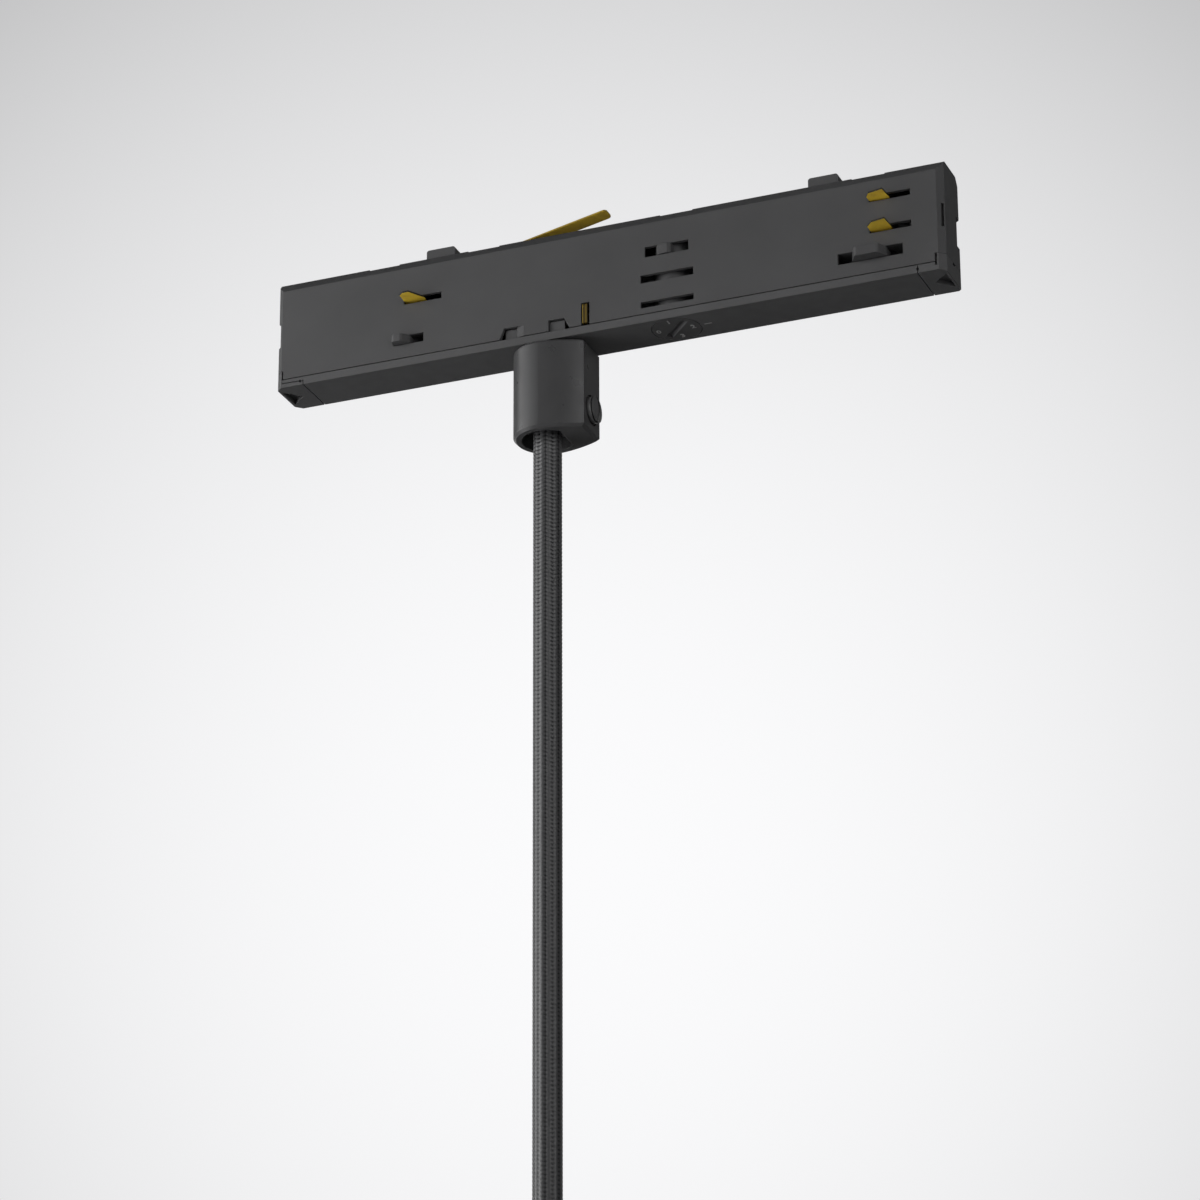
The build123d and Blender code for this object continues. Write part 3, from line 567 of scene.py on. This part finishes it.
class ADAPTER_OT_grip(bpy.types.Operator):
    """Finish the cord grip and its saddle, and make the clamp screw with its domed slotted head"""

    bl_idname = "adapter.grip"
    bl_label = "Cord Grip"

    # The head: its dome's rise, how far its rim lies behind the CAD screw's end, and its height
    dome_rise = 0.75 * MM
    rim_drop = 1.62 * MM
    head_height = 2.18 * MM
    shank_radius = 2.0 * MM
    slot_width = 1.0 * MM
    slot_depth = 1.1 * MM

    # The groove round the head, behind a thin lip
    lip_height = 0.05 * MM
    groove_width = 0.36 * MM
    groove_depth = 0.45 * MM

    # Points of the head: rows beside the slot and in it, points in a row, and points in a ring
    side_rows = 16
    slot_rows = 5
    row_points = 33
    ring_points = 96

    def execute(self, context):
        plastic = context.scene.adapter_plastic
        metal = context.scene.adapter_metal
        dress(["cord_grip", "clamp_saddle"],
              plastic_finish("grip_plastic", plastic.grip, plastic, roughness=0.32,
                             wave=FAINT_WAVE_DEPTH, edge=0.0002))
        dress(["clamp_screw"],
              plastic_finish("black_screw", metal.screw, plastic, roughness=0.36,
                             wave=FAINT_WAVE_DEPTH))
        head = self.clamp_screw(self.slotted_finish(metal))
        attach(head, "housing")
        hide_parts("clamp_screw")
        return {"FINISHED"}

    def slotted_finish(self, metal):
        """The screw's coat, with painted shade in its slot and groove, where the colour goes almost
        black.
        """
        finish = Finish("slotted_screw")
        recess = finish.add("ShaderNodeAttribute", attribute_name="recess").outputs["Fac"]
        # Painted shade: the colour drops to 2% in the slot and the groove.
        stops = [(0.0, tuple(metal.screw)), (0.05, tone(metal.screw, 0.02))]
        finish.paint(finish.ramp(recess, stops))
        tarnish = finish.noise(FINE_TARNISH_SIZE, detail=4.0)
        finish.roughen(tarnish, low=0.31, high=0.41)
        grain = finish.noise(size=0.0002)
        finish.relief([(grain, GRAIN_DEPTH, GRAIN_BUMP)], edge=0.0001)
        return finish.material

    def clamp_screw(self, material):
        """The clamp screw along X: a domed head with an upright slot, a groove and its shank."""
        low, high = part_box("clamp_screw")
        middle = (low + high) / 2
        radius = (high.y - low.y) / 2
        rim = high.x - self.rim_drop
        cap, in_slot = self.dome(middle, radius, rim)
        body, in_groove = self.turned_body(middle, radius, rim, low.x)
        cap_faces = grid_faces(*cap.shape[:2], closed=False)
        body_faces = grid_faces(*body.shape[:2]) + in_slot.size
        faces = np.concatenate([cap_faces, body_faces])[:, ::-1].tolist()
        points = np.concatenate([cap.reshape(-1, 3), body.reshape(-1, 3)])
        screw = surface("slotted_clamp_screw", points, faces, material)
        # The slot's and the groove's points carry the painted shade.
        keep_values(screw, "recess", np.concatenate([in_slot.ravel(), in_groove.ravel()]))
        return screw

    def dome(self, middle, radius, rim):
        """The head's face as a grid of chords, and which of its points lie in the slot.

        A row has one y, and its points share out the chord of the head's circle there. A point at
        the distance r from the axis lies at x = rim + sqrt(ball^2 - r^2) - (ball - rise). Between
        the slot's walls it lies no further out than the slot's floor, and the rows at the walls
        are doubled.
        """
        rise = self.dome_rise
        ball = (radius ** 2 + rise ** 2) / (2 * rise)
        half = self.slot_width / 2
        start = math.asin(half / radius)
        side = radius * np.sin(np.linspace(start, math.pi / 2, self.side_rows))
        inner = np.linspace(-half, half, self.slot_rows)
        y = np.concatenate([-side[::-1], inner, side])[:, None]
        share = np.sin(np.linspace(-math.pi / 2, math.pi / 2, self.row_points))
        z = np.sqrt(np.clip(radius ** 2 - y ** 2, 0.0, None)) * share
        x = rim + np.sqrt(ball ** 2 - y ** 2 - z ** 2) - (ball - rise)
        row = np.arange(len(y))[:, None]
        slot_row = (row >= self.side_rows) & (row < self.side_rows + self.slot_rows)
        in_slot = np.broadcast_to(slot_row, x.shape)
        x = np.where(in_slot, np.minimum(x, rim + rise - self.slot_depth), x)
        y = np.broadcast_to(y, x.shape)
        return np.stack([x, middle.y + y, middle.z + z], -1), in_slot

    def turned_body(self, middle, radius, rim, tip):
        """The rest of the screw: a profile of (x, radius, in groove) rows, turned about its axis.

        A profile row at x with the radius r becomes the ring (x, r cos a, r sin a).
        """
        lip = rim - self.lip_height
        floor = radius - self.groove_depth
        behind = lip - self.groove_width
        back = rim - self.head_height
        profile = np.array([(rim, radius, 0), (lip, radius, 0), (lip, floor, 1), (behind, floor, 1),
                            (behind, radius, 0), (back, radius, 0), (back, self.shank_radius, 0),
                            (tip, self.shank_radius, 0), (tip, 0, 0)])
        x, r, in_groove = (profile[:, column, None] for column in range(3))
        angle = np.linspace(0, 2 * math.pi, self.ring_points, endpoint=False)
        y = middle.y + r * np.cos(angle)
        z = middle.z + r * np.sin(angle)
        x, in_groove = (np.broadcast_to(column, y.shape) for column in (x, in_groove))
        return np.stack([x, y, z], -1), in_groove


class ADAPTER_OT_cord(bpy.types.Operator):
    """Make the braided cord along its route, and finish the cores and the lower fitting"""

    bl_idname = "adapter.cord"
    bl_label = "Braided Cord"

    route_points = 4

    # Points over a stitch's width and over its length
    stitch_points = 6

    # The braid's height at a column's edge, how far the dips are filled at a column's edge and by
    # how much more in its middle, and the power that rounds the stitches
    edge_height = 0.42
    edge_fill = 0.05
    middle_fill = 0.70
    roundness = 0.8

    fibre_size = 0.00018
    fibre_depth = 0.00003

    def execute(self, context):
        settings = context.scene.adapter_cord
        route = self.route(context, settings)
        cord = self.braid(settings, route, self.yarn_finish(settings))
        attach(cord, "housing")
        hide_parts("cord")
        metal = context.scene.adapter_metal
        plastic = context.scene.adapter_plastic
        dress(["lower_fitting"], metal_finish("black_fitting", metal.black, 0.42, metal.edge))
        dress(["cord_cores"],
              plastic_finish("core_insulation", plastic.core, plastic, roughness=0.5))
        dress(["terminal_block"],
              plastic_finish("terminal_plastic", plastic.terminal, plastic, roughness=0.5))
        return {"FINISHED"}

    def route(self, context, settings):
        """The points of the cord's spline, read from its curve."""
        x = node_middle("cord").x
        curve = bpy.data.curves.new("cord_route", "CURVE")
        curve.dimensions = "3D"
        curve.resolution_u = 24
        spline = curve.splines.new("NURBS")
        spline.points.add(self.route_points - 1)
        heights = np.linspace(settings.top, settings.bottom, self.route_points)
        for point, z in zip(spline.points, heights):
            point.co = (x, 0.0, z, 1.0)
        spline.order_u = 3
        spline.use_endpoint_u = True
        holder = bpy.data.objects.new("cord_route", curve)
        context.scene.collection.objects.link(holder)
        line = bpy.data.meshes.new_from_object(holder)
        points = np.empty(len(line.vertices) * 3, np.float64)
        line.vertices.foreach_get("co", points)
        bpy.data.objects.remove(holder)
        bpy.data.meshes.remove(line)
        return points.reshape(-1, 3)

    def braid(self, settings, route, material):
        """The braid as a tube round the route.

        Twice as many upright columns as strands stand round the tube, each a stack of stitches.
        With turn as the share of a full turn, a place lies across its column at x = the part after
        the point of columns * turn, from 0 to 1. A stitch leans one way in the odd columns and the
        other way in the even ones, so that neighbours meet in a point, and its place along the
        cord is y = s / pitch + lean * (x - 1/2), or minus in the even columns.

        The surface rises over x as the arch 1 - |2x - 1|^2 and dips over y as the stitch
        |sin(pi y)|^roundness. The dips are filled least at a column's edge and most in its middle:
        height = (edge + (1 - edge) * arch) * (filled + (1 - filled) * stitch).
        """
        steps = np.r_[0.0, np.cumsum(np.linalg.norm(np.diff(route, axis=0), axis=1))]
        rows = int(steps[-1] / settings.pitch * self.stitch_points)
        s = np.linspace(0.0, steps[-1], rows)
        line = np.stack([np.interp(s, steps, route[:, axis]) for axis in range(3)], -1)
        stacks = settings.strands * 2
        columns = stacks * self.stitch_points
        turn = np.arange(columns) / columns
        # A hair is added so that a column's first point doesn't round down into the one before
        stack = np.floor(turn * stacks + 0.001)
        x = turn * stacks - stack
        side = 2 * (stack % 2) - 1
        y = s[:, None] / settings.pitch + settings.lean * (x - 0.5) * side
        arch = 1 - np.abs(2 * x - 1) ** 2
        stitch = np.abs(np.sin(np.pi * y)) ** self.roundness
        filled = self.edge_fill + self.middle_fill * arch
        swell = self.edge_height + (1 - self.edge_height) * arch
        height = swell * (filled + (1 - filled) * stitch)
        radius = settings.diameter / 2 - settings.relief * (1 - height)
        points = self.tube(line, radius, 2 * np.pi * turn + settings.turn)
        ends = np.array([line[0], line[-1]])
        faces = grid_faces(rows, columns)[:, ::-1].tolist() + self.end_faces(rows, columns)
        cord = surface("braided_cord", np.concatenate([points, ends]), faces, material)
        keep_values(cord, "strand_height", np.r_[height.ravel(), 0.0, 0.0])
        return cord

    def tube(self, line, radius, angle):
        """Points round a line, each at line + r * (cos a * first + sin a * second).

        The first direction is the X axis with its part along the line taken out, and the second
        stands square to the line and to the first.
        """
        tangent = np.gradient(line, axis=0)
        tangent /= np.linalg.norm(tangent, axis=1, keepdims=True)
        first = np.array([1.0, 0.0, 0.0]) - tangent[:, :1] * tangent
        first /= np.linalg.norm(first, axis=1, keepdims=True)
        second = np.cross(tangent, first)
        out = (np.cos(angle)[:, None] * first[:, None, :]
               + np.sin(angle)[:, None] * second[:, None, :])
        return (line[:, None, :] + radius[..., None] * out).reshape(-1, 3)

    def end_faces(self, rows, columns):
        """Triangles that close the tube's ends, each round a middle point put after the grid's."""
        index = np.arange(columns)
        after = (index + 1) % columns
        last = (rows - 1) * columns
        middle = np.full(columns, rows * columns)
        top = np.stack([index, after, middle], -1)
        bottom = np.stack([last + after, last + index, middle + 1], -1)
        return np.concatenate([top, bottom]).tolist()

    def yarn_finish(self, settings):
        """Textile yarn: painted shade in the furrows between the stitches, fibres and a soft sheen.
        """
        finish = Finish("cord_braid")
        height = finish.add("ShaderNodeAttribute", attribute_name="strand_height").outputs["Fac"]
        # Painted shade: the colour goes from the yarn's to near black where the braid sinks between
        # the stitches.
        stops = [(0.12, tuple(settings.furrow)), (0.70, tuple(settings.yarn))]
        finish.paint(finish.ramp(height, stops))
        fibres = finish.noise(self.fibre_size, detail=3.0)
        finish.relief([(fibres, self.fibre_depth, FIBRE_BUMP)])
        finish.set(Roughness=0.27, Sheen_Weight=0.08, Sheen_Roughness=0.35)
        return finish.material


class ADAPTER_OT_studio(bpy.types.Operator):
    """Set the camera, the lamps, the pale backdrop and the floor"""

    bl_idname = "adapter.studio"
    bl_label = "Studio"

    # The camera's axes and place, and its focal length in pixels of the 1200-pixel picture
    right = Vector((0.92838899, 0.37158625, -0.00418779))
    up = Vector((0.14814978, -0.35976251, 0.92120713))
    away = Vector((-0.3408013, 0.85585898, 0.38904997))
    spot = Vector((0.43152, -1.09427, -0.57629))
    focal_pixels = 4628.59

    # The backdrop's brightest place in pixels below the picture's middle, its strength there and
    # at the least, and how steeply it falls with 1 - the cosine of the angle from there
    brightest_below = 250.0
    brightest = 0.974
    dimmest = 0.55
    fall = 16.5

    # Where the soft light from behind is strongest, and the power that narrows it
    behind = (-0.33, 0.86, -0.39)
    narrowing = 6.0

    # Each lamp's direction from the bar, distance, width and height, and whether gloss shows it
    lamps = {
        "key": ((-0.93, -0.37, 0.0), 0.60, (0.5, 0.6), True),
        "left_front": ((-0.55, -0.83, 0.1), 0.85, (0.5, 0.6), True),
        "left_low": ((-0.80, -0.30, -0.52), 0.70, (0.5, 0.5), True),
        "right": ((0.90, -0.44, -0.1), 0.80, (0.4, 0.6), True),
        "right_end": ((0.573, -0.788, 0.215), 0.279, (0.12, 0.12), True),
        "left_back": ((-0.95, 0.30, -0.10), 0.70, (0.3, 0.6), True),
        "low_front": ((0.0, -0.75, -0.66), 0.80, (0.6, 0.4), True),
        "high_back": ((-0.34, 0.80, 0.36), 0.95, (0.6, 0.4), False),
    }

    floor_half = 24.0

    def execute(self, context):
        settings = context.scene.adapter_studio
        context.scene.view_settings.view_transform = "Standard"
        self.camera(context, settings)
        for name, place in self.lamps.items():
            self.lamp(context, f"{name}_lamp", getattr(settings, name), *place)
        self.backdrop(context, settings)
        self.floor(settings)
        return {"FINISHED"}

    def camera(self, context, settings):
        """The camera at the photograph's place."""
        data = bpy.data.cameras.new("camera")
        data.sensor_width = 36.0
        data.lens = settings.lens
        data.clip_start = 0.01
        data.clip_end = 50.0
        camera = bpy.data.objects.new("camera", data)
        context.scene.collection.objects.link(camera)
        turn = Matrix((self.right, self.up, -self.away)).transposed()
        camera.matrix_world = Matrix.Translation(self.spot) @ turn.to_4x4()
        context.scene.camera = camera

    def lamp(self, context, name, watts, direction, distance, size, in_gloss):
        """A soft rectangular lamp that looks at the bar, which the camera doesn't see."""
        data = bpy.data.lights.new(name, "AREA")
        data.shape = "RECTANGLE"
        data.size, data.size_y = size
        data.energy = watts
        lamp = bpy.data.objects.new(name, data)
        context.scene.collection.objects.link(lamp)
        lamp.visible_camera = False
        lamp.visible_glossy = in_gloss
        place = Vector(direction).normalized() * distance
        lamp.location = place
        lamp.rotation_euler = place.to_track_quat("Z", "Y").to_euler()

    def backdrop(self, context, settings):
        """The world: a faint even light with a soft one from behind, and a pale backdrop.

        The camera and glass see the backdrop, which darkens away from its brightest place, and
        gloss sees a small share of it.
        """
        world = bpy.data.worlds.new("studio")
        context.scene.world = world
        world.use_nodes = True
        graph = Graph(world.node_tree)
        graph.tree.nodes.clear()
        ray = graph.add("ShaderNodeTexCoord").outputs["Generated"]

        ahead = graph.maths("MAXIMUM", graph.along(ray, self.behind), 0.0)
        from_behind = graph.maths("MULTIPLY", graph.maths("POWER", ahead, self.narrowing),
                                  settings.back)
        light = graph.add("ShaderNodeBackground", Color=(1, 1, 1, 1))
        graph.link(graph.maths("ADD", from_behind, settings.floor_fill), light.inputs["Strength"])

        brightest = (self.away * self.focal_pixels - self.up * self.brightest_below).normalized()
        least_cosine = 1.0 - (self.brightest - self.dimmest) / self.fall
        pale = graph.mapped(graph.along(ray, brightest), least_cosine, 1.0, self.dimmest,
                            self.brightest)
        seen = graph.add("ShaderNodeBackground", Color=(*settings.backdrop, 1))
        graph.link(pale, seen.inputs["Strength"])

        path = graph.add("ShaderNodeLightPath").outputs
        gloss = graph.maths("MULTIPLY", path["Is Glossy Ray"], settings.gloss_share)
        direct = graph.maths("MAXIMUM", path["Is Camera Ray"], path["Is Transmission Ray"])
        mix = graph.add("ShaderNodeMixShader")
        graph.link(graph.maths("MAXIMUM", direct, gloss), mix.inputs["Fac"])
        graph.link(light.outputs["Background"], mix.inputs[1])
        graph.link(seen.outputs["Background"], mix.inputs[2])
        output = graph.add("ShaderNodeOutputWorld")
        graph.link(mix.outputs["Shader"], output.inputs["Surface"])

    def floor(self, settings):
        """A pale floor well below the object, which the camera sees paler than it is lit."""
        finish = Finish("pale_floor")
        finish.paint(finish.clouded(finish.noise(size=0.5), settings.floor, low=0.98, high=1.02))
        seen = finish.add("ShaderNodeLightPath").outputs["Is Camera Ray"]
        glow = finish.maths("MULTIPLY", seen, settings.floor_glow)
        finish.link(glow, finish.shader.inputs["Emission Strength"])
        finish.set(Roughness=0.9, Emission_Color=(1.0, 1.0, 1.0, 1.0))
        corners = self.floor_half * np.array([[-1, -1], [1, -1], [1, 1], [-1, 1]])
        points = np.column_stack([corners, np.full(4, settings.floor_height)])
        floor = surface("floor", points, [[0, 1, 2, 3]], finish.material, smooth=False)


class ADAPTER_PT_panel(bpy.types.Panel):
    """Lists the adapter's settings and the operators that use them"""

    bl_label = "Track Adapter"
    bl_idname = "ADAPTER_PT_panel"
    bl_space_type = "VIEW_3D"
    bl_region_type = "UI"
    bl_category = "Track Adapter"

    def draw(self, context):
        groups = {
            "adapter_plastic": ("adapter.moulded_pieces", "adapter.selector", "adapter.grip"),
            "adapter_metal": ("adapter.contacts",),
            "adapter_cord": ("adapter.cord",),
            "adapter_studio": ("adapter.studio",),
        }
        for group, operators in groups.items():
            box = self.layout.box()
            settings = getattr(context.scene, group)
            for key in settings.bl_rna.properties.keys():
                if key not in ("rna_type", "name"):
                    box.prop(settings, key)
            for operator in operators:
                box.operator(operator)


GROUPS = {
    "adapter_plastic": AdapterPlasticSettings,
    "adapter_metal": AdapterMetalSettings,
    "adapter_cord": AdapterCordSettings,
    "adapter_studio": AdapterStudioSettings,
}
OPERATORS = (ADAPTER_OT_studio, ADAPTER_OT_cord, ADAPTER_OT_moulded_pieces, ADAPTER_OT_contacts,
             ADAPTER_OT_selector, ADAPTER_OT_grip)


def register():
    """Registers the settings, the operators and the panel."""
    for name, group in GROUPS.items():
        bpy.utils.register_class(group)
        setattr(bpy.types.Scene, name, PointerProperty(type=group))
    for operator in OPERATORS:
        bpy.utils.register_class(operator)
    bpy.utils.register_class(ADAPTER_PT_panel)


def unregister():
    """Takes out what register puts in."""
    bpy.utils.unregister_class(ADAPTER_PT_panel)
    for operator in reversed(OPERATORS):
        bpy.utils.unregister_class(operator)
    for name, group in reversed(GROUPS.items()):
        delattr(bpy.types.Scene, name)
        bpy.utils.unregister_class(group)


def main():
    register()
    bpy.ops.adapter.studio()
    bpy.ops.adapter.cord()
    bpy.ops.adapter.moulded_pieces()
    bpy.ops.adapter.contacts()
    bpy.ops.adapter.selector()
    bpy.ops.adapter.grip()


if __name__ == "__main__":
    main()
